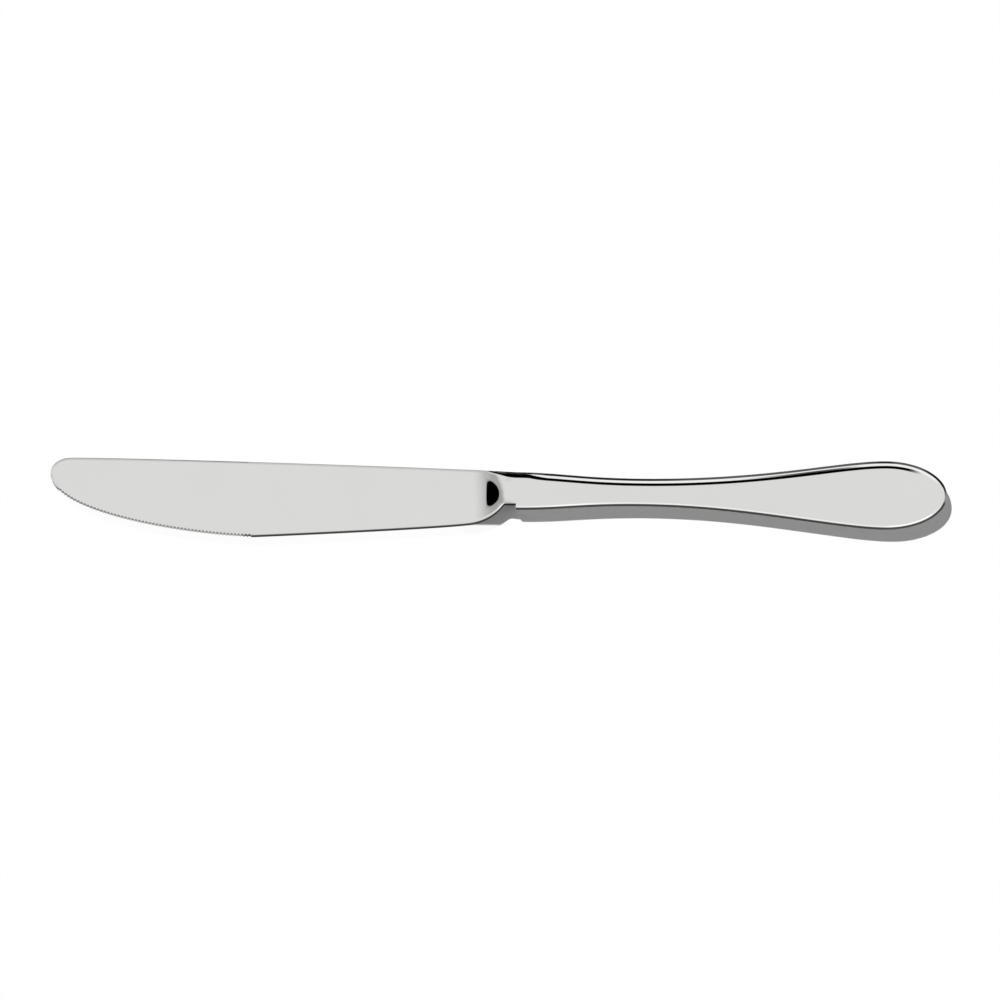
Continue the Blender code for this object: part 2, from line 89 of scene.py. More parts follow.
def linear(hex_colour: str) -> tuple[float, float, float, float]:
    """Turn an sRGB hex colour into linear RGBA.

    Args:
        hex_colour: Colour such as "#DBDBD9".

    Returns:
        Linear red, green, blue and an alpha of 1.
    """
    shares = [int(hex_colour[place : place + 2], 16) / 255 for place in (1, 3, 5)]
    red, green, blue = (s / 12.92 if s <= 0.04045 else ((s + 0.055) / 1.055) ** 2.4 for s in shares)
    return red, green, blue, 1.0


def feed(tree: Tree, node: bpy.types.Node, inputs: dict | tuple) -> None:
    """Set or link the inputs of a node.

    Args:
        tree: Node tree that holds the node.
        node: Node to feed.
        inputs: Value or output socket for each input, by the input's name or in their order.
    """
    for place, value in (inputs if isinstance(inputs, dict) else dict(enumerate(inputs))).items():
        if isinstance(value, Socket):
            tree.links.new(value, node.inputs[place])
        else:
            node.inputs[place].default_value = value


def add_node(tree: Tree, kind: str, inputs: dict | tuple = (), **settings: Any) -> bpy.types.Node:
    """Add a node with its settings and its inputs.

    Args:
        tree: Node tree that gets the node.
        kind: Blender's name of the node class, after "ShaderNode".
        inputs: Value or output socket for each input, by the input's name or in their order.
        settings: Options of the node itself.

    Returns:
        The new node.
    """
    node = tree.nodes.new("ShaderNode" + kind)
    for option, value in settings.items():
        setattr(node, option, value)
    feed(tree, node, inputs)
    return node


def calculated(tree: Tree, operation: str, *values: Any) -> Socket:
    """Work out a value with a math node."""
    return add_node(tree, "Math", values, operation=operation).outputs[0]


def mixed(tree: Tree, share: Any, first: Any, second: Any, kind: str = "FLOAT") -> Socket:
    """Mix two values, or two colours if the kind is RGBA."""
    inputs = {"Factor": share, "A": first, "B": second}
    return add_node(tree, "Mix", inputs, data_type=kind).outputs["Result"]


def window(tree: Tree, *limits: Any, most: float = 1.0) -> Socket:
    """Rise evenly from 0 to most, for limits that hold a value, where it is shut and where it is open."""
    return add_node(tree, "MapRange", (*limits, 0.0, most), interpolation_type="SMOOTHSTEP").outputs[0]


def noise(tree: Tree, place: Any, scale: float, detail: float, roughness: float) -> Socket:
    """Spread fractal noise over a place."""
    inputs = {"Vector": place, "Scale": scale, "Detail": detail, "Roughness": roughness}
    return add_node(tree, "TexNoise", inputs).outputs[0]


def new_material(name: str) -> tuple[Material, Tree, bpy.types.Node, Socket]:
    """Start a node material.

    Args:
        name: Name of the real material and of how it is made.

    Returns:
        The material, its node tree, its shader, and the place on the piece.
    """
    made = bpy.data.materials.new(name)
    made.use_nodes = True
    tree = made.node_tree
    return made, tree, tree.nodes["Principled BSDF"], add_node(tree, "TexCoord").outputs["Object"]


# Curves in plan


def bezier(start: Any, reach_start: Any, reach_end: Any, end: Any) -> Array:
    """Draw a cubic curve between two ends.

    Args:
        start: First end.
        reach_start: Control point of the first end.
        reach_end: Control point of the second end.
        end: Second end.

    Returns:
        Points of the curve, one row each.
    """
    t = np.linspace(0, 1, CURVE_POINTS)[:, None]
    start, reach_start, reach_end, end = map(np.array, (start, reach_start, reach_end, end))
    near = start * (1 - t) ** 3 + 3 * reach_start * t * (1 - t) ** 2
    return near + 3 * reach_end * t**2 * (1 - t) + end * t**3


def arc(centre: Any, radius: Any, angle_start: float, angle_end: float) -> Array:
    """Draw an arc of a circle or an ellipse.

    Args:
        centre: Centre in plan.
        radius: Radius, or an array of the radii along and across.
        angle_start: First angle from +X.
        angle_end: Last angle from +X.

    Returns:
        Points of the arc, one row each.
    """
    angle = np.linspace(angle_start, angle_end, ARC_POINTS)
    return np.array(centre) + radius * np.stack([np.cos(angle), np.sin(angle)], axis=1)


def joined(*curves: Array) -> Array:
    """Lay curves end to end, with each shared end kept once."""
    return np.concatenate([curves[0]] + [curve[1:] for curve in curves[1:]])


def lengths_along(curve: Array) -> Array:
    """Measure how far along a curve each of its points lies."""
    return np.concatenate([[0], np.cumsum(np.linalg.norm(np.diff(curve, axis=0), axis=1))])


def points_at(curve: Array, along: Array, places: Array) -> Array:
    """Read values of a curve at places along it.

    Args:
        curve: Values, one row for each point.
        along: Place of each row.
        places: Places to read.

    Returns:
        One row for each place read.
    """
    return np.stack([np.interp(places, along, column) for column in curve.T], axis=1)


def left_normals(curve: Array) -> Array:
    """Find the unit normals on the left of a curve, in its direction.

    Args:
        curve: Points of the curve.

    Returns:
        One normal for each point.
    """
    along = np.gradient(curve, axis=0)
    along /= np.linalg.norm(along, axis=1)[:, None]
    return np.stack([-along[:, 1], along[:, 0]], axis=1)


def distance_to(points: Array, curve: Array) -> Array:
    """Measure the shortest distance from points to a curve.

    Args:
        points: Points in plan.
        curve: Points of the curve.

    Returns:
        One distance for each point.
    """
    start, step = curve[:-1], np.diff(curve, axis=0)
    offset = points[:, None, :] - start[None]
    share = np.clip((offset * step).sum(-1) / (step * step).sum(-1), 0, 1)
    return np.linalg.norm(offset - share[..., None] * step, axis=-1).min(axis=1)


def smooth_step(value: Any, low: float, high: float) -> Any:
    """Rise evenly from 0 below low to 1 above high."""
    share = np.clip((value - low) / (high - low), 0, 1)
    return share * share * (3 - 2 * share)


def risen(distance: Any, length: float) -> Any:
    """How far a slope of 1 has risen, if it sets in evenly over a length."""
    past = np.clip(distance, 0, None)
    return np.where(past < length, past**2 / (2 * length), past - length / 2)


def roll(share: Any, fullness: Any = 2.0) -> Any:
    """Rise of a rounded edge from 0 at the outline to 1 where share is 1: an ellipse at fullness 2."""
    inner = 1 - np.clip(share, 0, 1)
    return (1 - inner**fullness) ** (1 / fullness)


@dataclass(frozen=True)
class EdgeRoll:
    """How a face falls to its outline: along an ellipse, from which the middle of the bend may be left out.

    With the bend left out, a shallow bevel meets a steep side in a crease, and both are a little wider.
    """

    width: float
    drop: float
    bend: Pair = (math.radians(33), math.radians(57.5))
    stretch: float = 0.32

    def turns(self, count: int) -> Array:
        """Spread turns evenly from the outline to the face, and move two of them to the ends of the bend.

        Args:
            count: How many turns.

        Returns:
            The turns, from 0 to a quarter turn.
        """
        even = np.linspace(0, math.pi / 2, count)
        even[[np.abs(even - end).argmin() for end in self.bend]] = self.bend
        return even

    def at(self, turn: Any, kept: Any = 1.0) -> tuple[Any, Any]:
        """Follow the roll from the outline to the face.

        Args:
            turn: How far round the ellipse, from 0 at the outline to a quarter turn at the face.
            kept: Share of the bend that is kept, one number or one for each point of the outline.

        Returns:
            How far inside the outline the roll is there, and how far below the face.
        """
        start, end = self.bend
        inset, fall = 1 - np.cos(turn), 1 - np.sin(turn)
        into_bend = np.clip(inset - 1 + math.cos(start), 0, math.cos(start) - math.cos(end))
        up_bend = np.clip(fall - 1 + math.sin(end), 0, math.sin(end) - math.sin(start))
        width = self.width * (1 + self.stretch * (1 - kept))
        return width * (inset - (1 - kept) * into_bend), self.drop * (fall - (1 - kept) * up_bend)

    def creased(self, distance: Any, kept: float) -> Any:
        """Fall below the face at distances from the outline, with a share of the bend kept."""
        inset, fall = self.at(self.turns(ARC_POINTS), kept)
        return np.interp(distance, inset, fall)


# Meshes


def quads(number: Array) -> list[tuple[int, ...]]:
    """List the faces between rows of vertices, for vertex numbers in rows."""
    corners = (number[:-1, :-1], number[:-1, 1:], number[1:, 1:], number[1:, :-1])
    return [tuple(quad) for quad in np.stack(corners, axis=-1).reshape(-1, 4).tolist()]


def new_piece(name: str, points: Array, faces: list, sharp: float, weld: bool = False) -> Piece:
    """Make an object from points and faces, shaded smooth up to its sharp edges.

    Args:
        name: Name of the object.
        points: Vertices in the frame of the knife.
        faces: Vertex numbers of each face.
        sharp: Angle between faces above which their edge stays sharp.
        weld: Make points in the same place one vertex, so that no face without area is left.

    Returns:
        The object, linked to the scene.
    """
    mesh = bpy.data.meshes.new(name)
    mesh.from_pydata(points.tolist(), [], faces)
    bm = bmesh.new()
    bm.from_mesh(mesh)
    if weld:
        bmesh.ops.remove_doubles(bm, verts=bm.verts, dist=SAME_PLACE)
    bmesh.ops.recalc_face_normals(bm, faces=bm.faces)
    bm.to_mesh(mesh)
    bm.free()
    mesh.shade_smooth()
    mesh.set_sharp_from_angle(angle=sharp)
    piece = bpy.data.objects.new(name, mesh)
    bpy.context.scene.collection.objects.link(piece)
    return piece


def stand_for(piece: Piece, node: str, material: Material) -> None:
    """Dress a piece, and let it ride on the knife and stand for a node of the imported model.

    Args:
        piece: The drawn piece.
        node: Node that it stands for.
        material: What it is made of.
    """
    piece.data.materials.append(material)
    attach(piece, BODY)
    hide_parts(node)
    LOG.info("%s stands for %s: %d vertices", piece.name, node, len(piece.data.vertices))


# Finishes


@dataclass(frozen=True)
class GroundEdgeWithPaintedShade:
    """Cutting edge as the stone leaves it, not buffed afterwards, so rougher than the faces.

    Its dark colour is painted shade: a narrow dark line along the edge, the teeth and the spine, standing in
    for shadow and dark reflections there.
    """

    attribute: str = "ground_edge"
    # Painted shade: near-black colour standing in for shadow and dark reflections along the edge.
    colour: str = "#3E3E3D"
    roughness: float = 0.38


@dataclass(frozen=True)
class PolishedStainless:
    """18/10 stainless steel, mirror polished on a buffing wheel.

    The eye gets a clear, slightly grey mirror with faint buffing lines along the knife, a little haze that
    comes and goes over a centimetre or two, and a few hairlines from use.
    """

    name: str
    colour: str = "#DBDBD9"
    hazed: str = "#D7D7D5"
    roughness: Pair = (0.045, 0.085)
    line_spacing: float = 0.22 * MM
    line_length: float = 16.0 * MM
    line_depth: float = 0.00012 * MM
    line_grain: Pair = (4.0, 0.6)
    haze_size: float = 15.0 * MM
    haze_grain: Pair = (3.0, 0.55)
    wear: Pair = (0.12, 0.42)
    edge: GroundEdgeWithPaintedShade | None = None

    def material(self) -> Material:
        """Make the material.

        Returns:
            A node material with buffing lines, haze and hairlines.
        """
        made, tree, shader, place = new_material(self.name)
        along = (1 / self.line_length, 1 / self.line_spacing, 1 / self.line_spacing)
        stretched = add_node(tree, "VectorMath", (place, along), operation="MULTIPLY").outputs[0]
        lines = noise(tree, stretched, 1.0, *self.line_grain)
        haze = noise(tree, place, 1 / self.haze_size, *self.haze_grain)
        both = calculated(tree, "MULTIPLY", lines, haze)
        rough = add_node(tree, "MapRange", (both, *self.wear, *self.roughness)).outputs[0]
        tint = mixed(tree, haze, linear(self.colour), linear(self.hazed), "RGBA")
        # A ground edge adds its roughness and paints its dark colour over the tint: painted shade on edge,
        # teeth, spine.
        if self.edge:
            share = add_node(tree, "Attribute", attribute_name=self.edge.attribute).outputs["Fac"]
            tint = mixed(tree, share, tint, linear(self.edge.colour), "RGBA")
            rough = mixed(tree, share, rough, self.edge.roughness)
        scratched = {"Height": lines, "Distance": self.line_depth, "Strength": 1.0}
        normal = add_node(tree, "Bump", scratched).outputs[0]
        feed(tree, shader, {"Base Color": tint, "Roughness": rough, "Normal": normal, "Metallic": 1.0})
        return made


@dataclass(frozen=True)
class SilverBraze:
    """Silver brazing filler, drawn into the seam and polished flush.

    The eye gets a hairline that is warmer and a little duller than the steel on each side of it.
    """

    name: str = "silver_braze_polished_flush"
    colour: str = "#CFC7B4"
    dulled: str = "#B9AE98"
    roughness: Pair = (0.18, 0.36)
    mottle_size: float = 0.9 * MM
    mottle_grain: Pair = (3.0, 0.5)

    def material(self) -> Material:
        """Make the material.

        Returns:
            A node material with a fine mottle.
        """
        made, tree, shader, place = new_material(self.name)
        mottle = noise(tree, place, 1 / self.mottle_size, *self.mottle_grain)
        tint = mixed(tree, mottle, linear(self.colour), linear(self.dulled), "RGBA")
        rough = add_node(tree, "MapRange", (mottle, 0.0, 1.0, *self.roughness)).outputs[0]
        feed(tree, shader, {"Base Color": tint, "Roughness": rough, "Metallic": 1.0})
        return made


@dataclass(frozen=True)
class CastCement:
    """Handle cement of resin and chalk, poured in hot.

    The eye gets a dull grey-buff filling with fine grains and a few darker blebs.
    """

    name: str = "handle_cement_cast"
    colour: str = "#A49C8E"
    dark: str = "#7C7468"
    grain_size: float = 0.5 * MM
    grain_height: float = 0.04 * MM
    grain: Pair = (5.0, 0.5)
    roughness: float = 0.9

    def material(self) -> Material:
        """Make the material.

        Returns:
            A node material with grains.
        """
        made, tree, shader, place = new_material(self.name)
        grain = noise(tree, place, 1 / self.grain_size, *self.grain)
        tint = mixed(tree, grain, linear(self.dark), linear(self.colour), "RGBA")
        normal = add_node(tree, "Bump", {"Height": grain, "Distance": self.grain_height}).outputs[0]
        feed(tree, shader, {"Base Color": tint, "Normal": normal, "Roughness": self.roughness})
        return made


# The knife


@dataclass(frozen=True)
class Knife:
    """Sizes that the forging and the handle share."""

    centre: Vector
    blade_length: float
    handle_length: float
    half_thick: float
    mouth_half: float = 4.3 * MM
    crease: float = 0.004
    wall: float = 0.7 * MM
    fit: float = 0.1 * MM
    packed_gap: float = 0.03 * MM
    shown_gap: float = 0.004 * MM
    inner_roll: float = 0.8 * MM
    edge_roll: float = 2.0 * MM

    @classmethod
    def from_frame(cls) -> "Knife":
        """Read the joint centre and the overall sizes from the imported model.

        Returns:
            The sizes that the pieces share.
        """
        low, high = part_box("handle_top_shell")
        tip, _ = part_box("blade")
        bottom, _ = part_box("handle_bottom_shell")
        half_thick = (high.z - bottom.z) / 2
        centre = Vector((low.x - cls.packed_gap, (low.y + high.y) / 2, half_thick))
        return cls(centre, centre.x - tip.x, high.x - centre.x, half_thick)

    def rolled_edge(self) -> EdgeRoll:
        """The full roll along the edges of the handle."""
        return EdgeRoll(self.edge_roll, self.half_thick)


@dataclass
class HandleOutline:
    """Teardrop outline of the handle, from its mouth to its end."""

    knife: Knife
    mouth_reach: float = 10.1 * MM
    waist_from_mouth: float = 28.6 * MM
    waist_half: float = 3.15 * MM
    waist_reach_front: float = 13.9 * MM
    waist_reach_back: float = 26.2 * MM
    swell_half: float = 7.83 * MM
    swell_reach: float = 10.9 * MM
    end_length: float = 14.05 * MM
    end_over: float = 0.25 * MM
    bow: float = 0.16 * MM
    bow_from_mouth: float = 63.0 * MM
    bow_reach: float = 19.0 * MM

    def spine_side(self) -> Array:
        """Draw the outline's spine side, from the mouth to the end.

        Returns:
            Points of the curve, one row each.
        """
        half = self.knife.mouth_half
        waist = (self.waist_from_mouth, self.waist_half)
        swell = (self.knife.handle_length + self.end_over - self.end_length, self.swell_half)
        to_waist = (waist[0] - self.waist_reach_front, waist[1])
        from_waist = (waist[0] + self.waist_reach_back, waist[1])
        to_swell = (swell[0] - self.swell_reach, swell[1])
        neck = bezier((0, half), (self.mouth_reach, half), to_waist, waist)
        flare = bezier(waist, from_waist, to_swell, swell)
        end = arc((swell[0], 0), np.array((self.end_length, swell[1])), math.pi / 2, 0)
        return joined(neck, flare, end)

    def whole(self) -> Array:
        """Draw the outline from the mouth's spine side round the end to the mouth's edge side.

        Returns:
            Points of the curve, one row each, on a handle that is bowed a hair towards the edge side.
        """
        side = self.spine_side()
        both = joined(side, side[::-1] * (1, -1))
        both[:, 1] -= self.bow * np.exp(-(((both[:, 0] - self.bow_from_mouth) / self.bow_reach) ** 2))
        return both


@dataclass
class HandleShell:
    """One pressed half of the hollow handle."""

    outline: HandleOutline
    side: Side
    crease_opens: Pair = (3.1 * MM, 7.0 * MM)
    crease_growth: float = 0.75
    rim: float = 0.09 * MM
    chain_points: int = 361
    roll_steps: int = 28
    end_crowding: float = 0.4
    sharp: float = math.radians(20)

    def chain(self) -> tuple[Array, Array]:
        """Draw the outline with points close together at the mouth and the end.

        Returns:
            Points of the outline, and the unit normals into the handle.
        """
        curve = self.outline.whole()
        normals = -left_normals(curve)
        along = lengths_along(curve)
        even = np.linspace(-1, 1, self.chain_points)
        share = (1 + even - self.end_crowding * np.sin(even * math.pi) / math.pi) / 2
        inward = points_at(normals, along, share * along[-1])
        return points_at(curve, along, share * along[-1]), inward / np.linalg.norm(inward, axis=1)[:, None]

    def row(self, inset: Any, height: Any) -> Array:
        """Draw a row of points along the outline.

        Args:
            inset: How far inside the outline the row is, one number or one for each point.
            height: How far above the middle it is, one number or one for each point.

        Returns:
            Points of the row, of which both ends lie in the mouth's face.
        """
        plan, inward = self.chain()
        even = np.zeros(len(plan))
        points = plan + inward * (inset + even)[:, None]
        points[[0, -1], 0] = self.outline.knife.shown_gap
        return np.column_stack([points, height + even])

    def rows(self, inset: float, edge: EdgeRoll, face: float, kept: Any = 1.0) -> list[Array]:
        """Climb a rolled edge from the rim to the flat.

        Args:
            inset: How far inside the outline the climb starts.
            edge: Roll to climb.
            face: Height of the flat.
            kept: Share of the roll's bend that is kept, one number or one for each point.

        Returns:
            Rows of points, from the rim to the flat.
        """
        climb = [(0.0, face - self.rim)]
        climb += [edge.at(turn, kept) for turn in edge.turns(self.roll_steps)]
        return [self.row(inset + moved, np.maximum(face - fall, self.rim)) for moved, fall in climb]

    def build(self) -> Piece:
        """Make the shell: its outside, its inside, its rim and its mouth.

        Returns:
            The shell, in its place.
        """
        knife = self.outline.knife
        plan, _ = self.chain()
        start, end = self.crease_opens
        kept = np.clip((plan[:, 0] - start) / (end - start), 0, 1) ** self.crease_growth
        kept[len(plan) // 2 :] = 1
        outside = self.rows(0, knife.rolled_edge(), knife.half_thick, np.maximum(kept, knife.crease))
        hollow = EdgeRoll(knife.inner_roll, knife.half_thick - knife.wall - self.rim)
        inside = self.rows(knife.wall, hollow, knife.half_thick - knife.wall)
        rows, columns = len(outside), len(plan)
        points = np.concatenate(outside + inside)
        number = np.arange(2 * rows * columns).reshape(2, rows, columns)
        middle = columns // 2
        strips = [*number, number[:, 0], number[:, :, 0], number[:, :, -1], number[:, -1, [0, -1]]]
        strips += [np.stack([flat[:middle], flat[:middle:-1]]) for flat in number[:, -1]]
        faces = [face for strip in strips for face in quads(strip)]
        faces += map(tuple, number[:, -1, middle - 1 : middle + 2].tolist())
        points = points * (1, 1, self.side.value) + np.array(knife.centre)
        return new_piece(f"pressed_shell_{self.side.name.lower()}", points, faces, self.sharp, weld=True)

    def dress(self, piece: Piece, finish: PolishedStainless) -> None:
        """Give the shell its finish and let it stand for its node."""
        stand_for(piece, f"handle_{self.side.name.lower()}_shell", finish.material())


@dataclass
class SeamBand:
    """The brazing filler between the rims of the two half shells."""

    shell: HandleShell
    sharp: float = math.radians(30)

    def build(self) -> Piece:
        """Make the band, a closed strip as wide as the wall that follows the rims.

        Returns:
            The band, in its place.
        """
        knife = self.shell.outline.knife
        half = self.shell.rim - knife.shown_gap
        corners = ((0, half), (knife.wall, half), (knife.wall, -half), (0, -half))
        rows = [self.shell.row(inset, height) for inset, height in corners]
        number = np.arange(sum(map(len, rows))).reshape(len(rows), -1)
        faces = quads(np.concatenate([number, number[:1]]))
        faces += [tuple(number[:, end].tolist()) for end in (0, -1)]
        return new_piece("brazed_seam", np.concatenate(rows) + np.array(knife.centre), faces, self.sharp)

    def dress(self, piece: Piece, finish: SilverBraze) -> None:
        """Give the band its finish and let it stand for its node."""
        stand_for(piece, "seam_braze", finish.material())


@dataclass
class Blade:
    """The forging: blade, toothed edge, scooped bolster, neck, spigot and notched tang."""

    knife: Knife
    outline: HandleOutline
    tip_length: float = 4.58 * MM
    tip_radius: float = 3.6 * MM
    spine_height: float = 6.4 * MM
    spine_reach_tip: float = 5.0 * MM
    spine_reach_mouth: float = 21.5 * MM
    spine_slope_tip: float = -0.08
    spine_slope_mouth: float = 0.046
    tip_reach: float = 9.9 * MM
    belly_from_tip: float = 46.5 * MM
    belly_depth: float = 11.28 * MM
    belly_reach_tip: float = 12.0 * MM
    belly_reach_heel: float = 0.8 * MM
    heel_from_mouth: float = 10.5 * MM
    heel_depth: float = 7.95 * MM
    heel_reach: float = 7.5 * MM
    heel_angle: float = math.radians(8)
    heel_radius: float = 11.9 * MM
    neck_fillet: float = 0.7 * MM
    mouth_step: float = 0.98 * MM
    spine_thick_tip: float = 1.0 * MM
    spine_thick_heel: float = 3.9 * MM
    edge_thick: float = 0.8 * MM
    spine_round: float = 0.08 * MM
    spine_round_neck: float = 0.06 * MM
    tip_round: float = 0.1 * MM
    tip_edge_round: float = 0.3 * MM
    tip_rounding_ends: float = 1.2 * MM
    edge_bevel: float = 0.9 * MM
    edge_bevel_fullness: float = 1.25
    tooth_pitch: float = 0.82 * MM
    tooth_depth: float = 0.25 * MM
    teeth_start: float = 4.5 * MM
    teeth_stop_before_belly: float = 0.1 * MM
    flute_height: float = 0.55 * MM
    flute_depth: float = 0.07 * MM
    scoop_from_mouth: float = 6.76 * MM
    sweep_before: float = 3.7 * MM
    sweep_sets_in: float = 5.0 * MM
    sweep_slope: float = 0.14
    sweep_eases: float = 1.25 * MM
    crest_side: float = 1.95 * MM
    crest_bow: float = 2.0 * MM
    crest_half: float = 2.6 * MM
    step_slope: float = 0.148
    step_length: float = 2.77 * MM
    step_half: float = 3.5 * MM
    step_rounding: float = 0.75
    step_drop: float = 0.64 * MM
    step_fillet: float = 0.1 * MM
    step_blend: float = 8.0
    bolster_most: float = 1.13 * MM
    flush_from_mouth: float = 3.6 * MM
    flush_blend: float = 20.0
    bevel_length: float = 4.5 * MM
    bevel_growth: float = 0.7
    heel_blend: float = 3.0 * MM
    neck_roll: float = 0.5 * MM
    # Ground bands, rougher and painted with shade: dark edge line, dark gullet beads, grey spine line.
    ground_and_shade_width: Pair = (0.38 * MM, 0.62 * MM)
    ground_and_shade_teeth: Pair = (0.1, 0.72)
    ground_and_shade_last_teeth: float = 0.8
    last_teeth: Pair = (3.2 * MM, 1.4 * MM)
    spine_dull_and_shade: Pair = (0.25, 0.21)
    spine_dull_and_shade_width: Pair = (0.34 * MM, 0.56 * MM)
    spine_dull_and_shade_from_tip: float = 1.8 * MM
    spigot_length: float = 7.0 * MM
    spigot_sections: int = 5
    tang_length: float = 34.0 * MM
    tang_half_root: float = 1.8 * MM
    tang_half_end: float = 1.3 * MM
    tang_thick: float = 1.8 * MM
    tang_round: float = 0.25 * MM
    notch_radius: float = 0.5 * MM
    notch_pitch: float = 7.0 * MM
    notch_count: int = 4
    notch_points: int = 12
    tip_stations: int = 26
    stations_per_tooth: int = 5
    plain_stations: int = 44
    bolster_stations: int = 128
    roll_steps: int = 15
    face_points: int = 66
    most_roll_share: float = 0.35
    least: float = 0.0001 * MM
    sharp: float = math.radians(40)
    spine: Array = field(init=False)
    toothed: Array = field(init=False)
    plain: Array = field(init=False)

    def __post_init__(self) -> None:
        """Draw the outline once."""
        self.spine = self.spine_curve()
        self.toothed, self.plain = self.edge_curves()

    def spine_curve(self) -> Array:
        """Draw the upper outline of the blade, from the tip to the handle's mouth.

        Returns:
            Points of the curve, one row each.
        """
        length, half = self.knife.blade_length, self.knife.mouth_half
        centre = (self.tip_length - length, self.spine_height - self.tip_radius)
        radii = np.array((self.tip_length, self.tip_radius))
        tip_arc = arc(centre, radii, math.pi, math.pi / 2 - self.spine_slope_tip)
        start = tip_arc[-1]
        level = (start[0] + self.spine_reach_tip, start[1] - self.spine_slope_tip * self.spine_reach_tip)
        arrival = (-self.spine_reach_mouth, half + self.spine_slope_mouth * self.spine_reach_mouth)
        return joined(tip_arc, bezier(start, level, arrival, (0, half)))

    def edge_curves(self) -> tuple[Array, Array]:
        """Draw the lower outline of the blade.

        Returns:
            The toothed stretch from the tip to the belly, and the plain stretch up to the mouth.
        """
        tip = (-self.knife.blade_length, self.spine_height - self.tip_radius)
        belly = (self.belly_from_tip - self.knife.blade_length, -self.belly_depth)
        heel = np.array((-self.heel_from_mouth, -self.heel_depth))
        toothed = bezier(
            tip, (tip[0], tip[1] - self.tip_reach), (belly[0] - self.belly_reach_tip, belly[1]), belly
        )
        to_heel = bezier(
            belly,
            (belly[0] + self.belly_reach_heel, belly[1]),
            heel - self.heel_reach * np.array((1, math.tan(self.heel_angle))),
            heel,
        )
        neck_y = self.mouth_step - self.knife.mouth_half
        centre = heel + self.heel_radius * np.array((-math.sin(self.heel_angle), math.cos(self.heel_angle)))
        fillet_y = neck_y - self.neck_fillet
        apart = self.heel_radius + self.neck_fillet
        fillet_x = centre[0] + math.sqrt(apart**2 - (fillet_y - centre[1]) ** 2)
        meet = math.atan2(fillet_y - centre[1], fillet_x - centre[0])
        heel_arc = arc(centre, self.heel_radius, self.heel_angle - math.pi / 2, meet)
        fillet = arc((fillet_x, fillet_y), self.neck_fillet, meet + math.pi, math.pi / 2)
        neck = np.array((fillet[-1], (0, neck_y)))
        return toothed, joined(to_heel, heel_arc, fillet, neck)

    def bolster_rise(self, x: Array, y: Array) -> Array:
        """Rise of the bolster above the blade: a long sweep, and in it a steeper scoop with a round top.

        Args:
            x: Places along the knife.
            y: Places across the knife.

        Returns:
            One rise for each place.
        """
        past = x + self.scoop_from_mouth
        beside = y + self.step_drop
        crest = self.crest_side + self.crest_bow * np.exp(-((beside / self.crest_half) ** 2))
        sweep = risen(past + self.sweep_before, self.sweep_sets_in) - risen(past - crest, self.sweep_eases)
        share = np.clip(1 - (beside / self.step_half) ** 2, 0, None) ** self.step_rounding
        ahead = (past + np.sqrt(past**2 + self.step_fillet**2)) / 2
        both = np.maximum([ahead, self.step_length * share], self.least) ** -self.step_blend
        step = share * both.sum(axis=0) ** (-1 / self.step_blend)
        return self.sweep_slope * sweep + self.step_slope * step

    def bevel_grown(self, x: Any) -> Any:
        """Share of its full size that the neck's bevel has at places along the knife."""
        return np.clip((x + self.scoop_from_mouth) / self.bevel_length, 0, 1) ** self.bevel_growth

    def half_thickness(self, points: Array, gullet: float) -> Array:
        """Half thickness of the blade, bolster and neck.

        Args:
            points: Points in plan, inside the outline.
            gullet: How deep in a gullet between teeth the section lies, from 0 to 1.

        Returns:
            One half thickness for each point.
        """
        x, y = points[:, 0], points[:, 1]
        length = self.knife.blade_length
        from_spine = distance_to(points, self.spine)
        from_edge = distance_to(points, joined(self.toothed, self.plain))
        thick = np.interp(x, (-length, -self.scoop_from_mouth), (self.spine_thick_tip, self.spine_thick_heel))
        across = from_edge / np.maximum(from_edge + from_spine, self.least)
        level = np.clip((y + self.heel_depth) / (np.interp(x, *self.spine.T) + self.heel_depth), 0, 1)
        heel = smooth_step(x, -self.heel_from_mouth - self.heel_blend, -self.heel_from_mouth)
        across += (level - across) * heel
        wedge = (self.edge_thick + (thick - self.edge_thick) * across) / 2
        room = np.minimum(self.knife.half_thick - wedge, self.bolster_most)
        share = np.maximum(self.bolster_rise(x, y) / room, self.least)
        share = (1 + share**-self.flush_blend) ** (-1 / self.flush_blend)
        body = wedge + room * (share + (1 - share) * smooth_step(x, -self.flush_from_mouth, 0))
        grown = self.bevel_grown(x)
        edge = self.knife.rolled_edge()
        bevel = grown * edge.creased(from_spine / np.maximum(grown, self.least), self.knife.crease)
        crisp = smooth_step(x, -self.scoop_from_mouth - self.heel_blend, -self.scoop_from_mouth)
        past_tip = smooth_step(x, -length, self.tip_rounding_ends - length)
        spine_round = self.tip_round + (self.spine_round - self.tip_round) * past_tip
        spine_round += (self.spine_round_neck - self.spine_round) * crisp
        neck = smooth_step(x, -self.scoop_from_mouth, 0)
        belly = smooth_step(x, -length, self.toothed[-1, 0])
        edge_roll = self.tip_round + (self.tip_edge_round - self.tip_round) * past_tip
        edge_roll += (self.edge_bevel - self.tip_edge_round) * belly
        edge_roll += (self.neck_roll - self.edge_bevel) * neck
        past_heel = smooth_step(x, -self.heel_from_mouth, -self.scoop_from_mouth)
        edge_fullness = self.edge_bevel_fullness + (2 - self.edge_bevel_fullness) * past_heel
        half = (body - bevel) * roll(from_spine / spine_round)
        half *= roll(from_edge / edge_roll, edge_fullness)
        flute = self.flute_depth * gullet * np.clip(1 - from_edge / self.flute_height, 0, 1)
        return np.maximum(half - flute, np.minimum(half, self.least))

    def section_shares(self, width: float, upper: Array, lower: Array) -> Array:
        """Places across a section, closest together at both edges.

        Args:
            width: Width of the section.
            upper: Places on the upper roll, as distances from the upper outline.
            lower: Places on the lower roll, as distances from the lower outline.

        Returns:
            Shares from 0 at the upper outline to 1 at the lower.
        """
        most = width * self.most_roll_share
        upper = upper * min(1, most / upper[-1])
        lower = width - (lower * min(1, most / lower[-1]))[::-1]
        face = np.linspace(upper[-1], lower[0], self.face_points + 2)[1:-1]
        return np.concatenate([upper, face, lower]) / width

